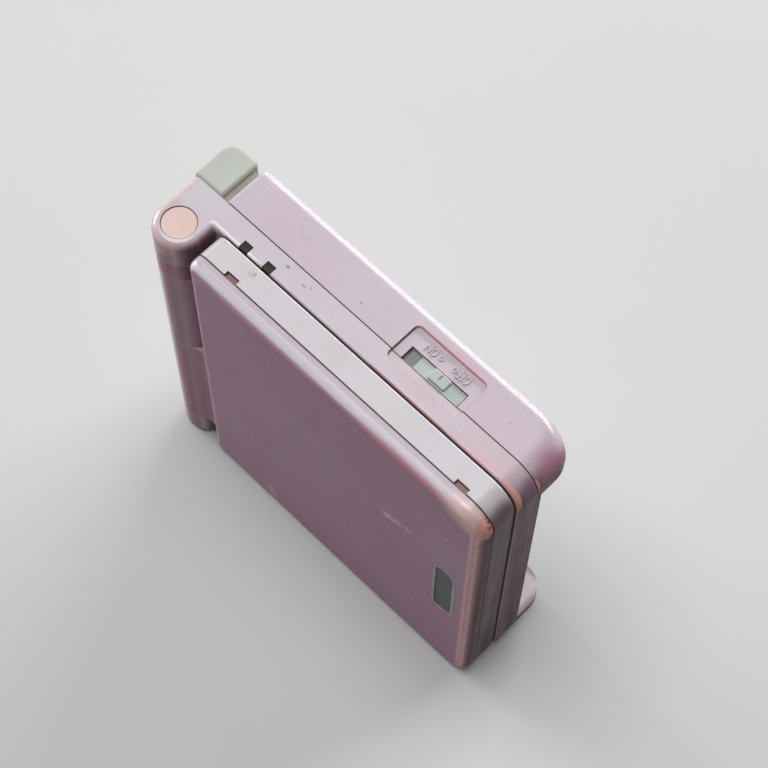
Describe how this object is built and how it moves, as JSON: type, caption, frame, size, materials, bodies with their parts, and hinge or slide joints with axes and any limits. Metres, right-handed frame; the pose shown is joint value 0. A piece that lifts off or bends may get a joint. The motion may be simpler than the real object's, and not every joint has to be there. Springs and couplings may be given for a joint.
{
  "type": "clamshell handheld game console",
  "caption": "Folded clamshell handheld game console with a hinged screen lid, direction pad, face and shoulder buttons, slide switches and a cartridge bay.",
  "frame": {"origin": "middle of the closed console's length and thickness, on the left side face that it stands on", "axes": "+X from the hinge end to the front edge with the cartridge mouth, +Y from the lid's outer face to the underside, +Z from the left side up to the right side with the power switch"},
  "size_m": [0.0846, 0.0242, 0.082],
  "materials": {
    "pearl_pink_lid": "pearl paint over moulded plastic, worn at corners",
    "pearl_pink_base": "pearl paint over moulded plastic, worn at corners",
    "grey_green_plastic": "satin",
    "faded_cap": "matt",
    "smoked_plastic": "gloss",
    "clear_lens": "polished acrylic",
    "display_glass": "gloss",
    "badge_rim_plastic": "satin",
    "badge_plate_dark": "satin",
    "steel": "plated",
    "gold_contacts": "plated",
    "circuit_board": "solder mask",
    "black_plastic": "satin",
    "grey_rubber": "matt",
    "battery_wrap": "satin",
    "cable_film": "satin"
  },
  "bodies": {
    "base": {"base_top_shell": "pearl_pink_base", "base_bottom_shell": "pearl_pink_base", "battery_door": "pearl_pink_base", "battery_door_screw": "steel", "case_screws": "steel", "battery_pack": "battery_wrap", "main_board": "circuit_board", "cartridge_connector": "black_plastic", "cartridge_contacts": "gold_contacts", "link_port": "black_plastic", "power_port": "black_plastic", "speaker": "black_plastic", "control_membranes": "grey_rubber", "shoulder_pins": "steel", "shoulder_switches": "black_plastic", "power_switch": "black_plastic", "volume_switch": "black_plastic", "lamp_pipes": "smoked_plastic", "hinge_bush": "steel", "hinge_end_caps": "faded_cap"},
    "lid": {"lid_outer_cover": "pearl_pink_lid", "lid_bezel": "pearl_pink_lid", "screen_lens": "clear_lens", "display_panel": "display_glass", "display_flat_cable": "cable_film", "lid_screws": "steel", "lid_screw_pads": "grey_rubber", "badge_frame": "badge_rim_plastic", "badge_plate": "badge_plate_dark", "hinge_collar": "pearl_pink_lid", "hinge_click_unit": "steel"},
    "direction_pad_pivot": {"direction_pad_pivot": "grey_rubber"},
    "direction_pad": {"direction_pad": "grey_green_plastic"},
    "button_a": {"button_a": "grey_green_plastic"},
    "button_b": {"button_b": "grey_green_plastic"},
    "start_button": {"start_button": "grey_green_plastic"},
    "select_button": {"select_button": "grey_green_plastic"},
    "light_button": {"light_button": "grey_green_plastic"},
    "shoulder_button_right": {"shoulder_button_right": "grey_green_plastic"},
    "shoulder_button_left": {"shoulder_button_left": "grey_green_plastic"},
    "power_slider": {"power_slider": "grey_green_plastic"},
    "volume_slider": {"volume_slider": "grey_green_plastic"}
  },
  "joints": [
    {"name": "lid_hinge", "type": "hinge", "parent": "base", "child": "lid", "pos_m": [-0.03635, -0.0071, 0.041], "axis": [0, 0, -1], "range_deg": [0, 165]},
    {"name": "direction_pad_rock_sideways", "type": "hinge", "parent": "base", "child": "direction_pad_pivot", "pos_m": [-0.0013, -0.00045, 0.0188], "axis": [1, 0, 0], "range_deg": [-2.5, 2.5], "stiffness_Nm_per_rad": 0.12},
    {"name": "direction_pad_rock_up_down", "type": "hinge", "parent": "direction_pad_pivot", "child": "direction_pad", "pos_m": [-0.0013, -0.00045, 0.0188], "axis": [0, 0, 1], "range_deg": [-2.5, 2.5], "stiffness_Nm_per_rad": 0.12},
    {"name": "button_a_press", "type": "slide", "parent": "base", "child": "button_a", "axis": [0, 1, 0], "range_m": [0, 0.0007], "stiffness_N_per_m": 250},
    {"name": "button_b_press", "type": "slide", "parent": "base", "child": "button_b", "axis": [0, 1, 0], "range_m": [0, 0.0007], "stiffness_N_per_m": 250},
    {"name": "start_button_press", "type": "slide", "parent": "base", "child": "start_button", "axis": [0, 1, 0], "range_m": [0, 0.0007], "stiffness_N_per_m": 250},
    {"name": "select_button_press", "type": "slide", "parent": "base", "child": "select_button", "axis": [0, 1, 0], "range_m": [0, 0.0007], "stiffness_N_per_m": 250},
    {"name": "light_button_press", "type": "slide", "parent": "base", "child": "light_button", "axis": [0, 1, 0], "range_m": [0, 0.0007], "stiffness_N_per_m": 250},
    {"name": "shoulder_right_press", "type": "hinge", "parent": "base", "child": "shoulder_button_right", "pos_m": [-0.0371, 0.00645, 0.0673], "axis": [0, 1, 0], "range_deg": [0, 4], "stiffness_Nm_per_rad": 0.25},
    {"name": "shoulder_left_press", "type": "hinge", "parent": "base", "child": "shoulder_button_left", "pos_m": [-0.0371, 0.00645, 0.0147], "axis": [0, -1, 0], "range_deg": [0, 4], "stiffness_Nm_per_rad": 0.25},
    {"name": "power_switch_slide", "type": "slide", "parent": "base", "child": "power_slider", "axis": [-1, 0, 0], "range_m": [0, 0.0025]},
    {"name": "volume_slide", "type": "slide", "parent": "base", "child": "volume_slider", "axis": [1, 0, 0], "range_m": [-0.0028, 0.0028]}
  ]
}
